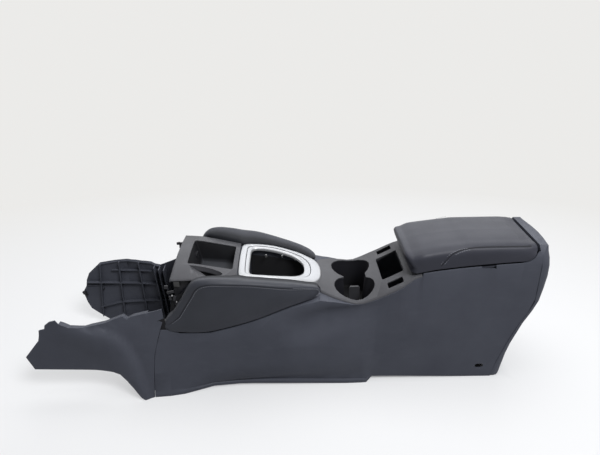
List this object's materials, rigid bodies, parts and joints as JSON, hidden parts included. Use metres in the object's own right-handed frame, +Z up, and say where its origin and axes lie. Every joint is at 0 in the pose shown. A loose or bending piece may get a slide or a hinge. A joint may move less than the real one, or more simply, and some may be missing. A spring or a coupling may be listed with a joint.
{
  "type": "car center console",
  "caption": "Floor centre console of a compact crossover with shifter surround, double cup holder, open pocket, padded knee sides and a hinged armrest lid over a bin.",
  "frame": {"origin": "centre of the bounding box on the floor plane", "axes": "+X towards the rear of the car along the console's length, +Y towards the car's right side, +Z up"},
  "size_m": [1.1, 0.2878, 0.3234],
  "materials": {
    "charcoal_plastic": "fine grained charcoal",
    "satin_silver": "satin silver paint",
    "grey_trim": "fine grained mid grey",
    "black_plastic": "plain black moulding",
    "pad_skin": "dark grey artificial leather over foam",
    "armrest_skin": "grey artificial leather over foam",
    "mat_rubber": "matt black rubber",
    "steel": "plated steel"
  },
  "bodies": {
    "console": {"console_body": "charcoal_plastic", "rear_panel": "charcoal_plastic", "front_finisher_left": "charcoal_plastic", "front_finisher_right": "charcoal_plastic", "shift_bezel": "satin_silver", "shift_bezel_inner": "satin_silver", "cup_panel": "grey_trim", "cup_well": "black_plastic", "cup_divider": "grey_trim", "tray_trim": "grey_trim", "pocket_bin": "black_plastic", "outlet_socket": "black_plastic", "knee_pad_left": "pad_skin", "knee_pad_right": "pad_skin", "knee_backing_left": "black_plastic", "knee_backing_right": "black_plastic", "storage_bin": "black_plastic", "bin_mat": "mat_rubber", "hinge_bracket": "steel", "bracket_screw_left": "steel", "bracket_screw_right": "steel", "lid_bumper_left": "mat_rubber", "lid_bumper_right": "mat_rubber", "front_carrier": "black_plastic", "trim_clip_left": "steel", "trim_clip_right": "steel"},
    "lid": {"lid_pad": "armrest_skin", "lid_base": "black_plastic", "hinge_pin": "steel"}
  },
  "joints": [
    {"name": "lid_hinge", "type": "hinge", "parent": "console", "child": "lid", "pos_m": [0.5055, 0, 0.31], "axis": [0, 1, 0], "range_deg": [0, 75]}
  ]
}
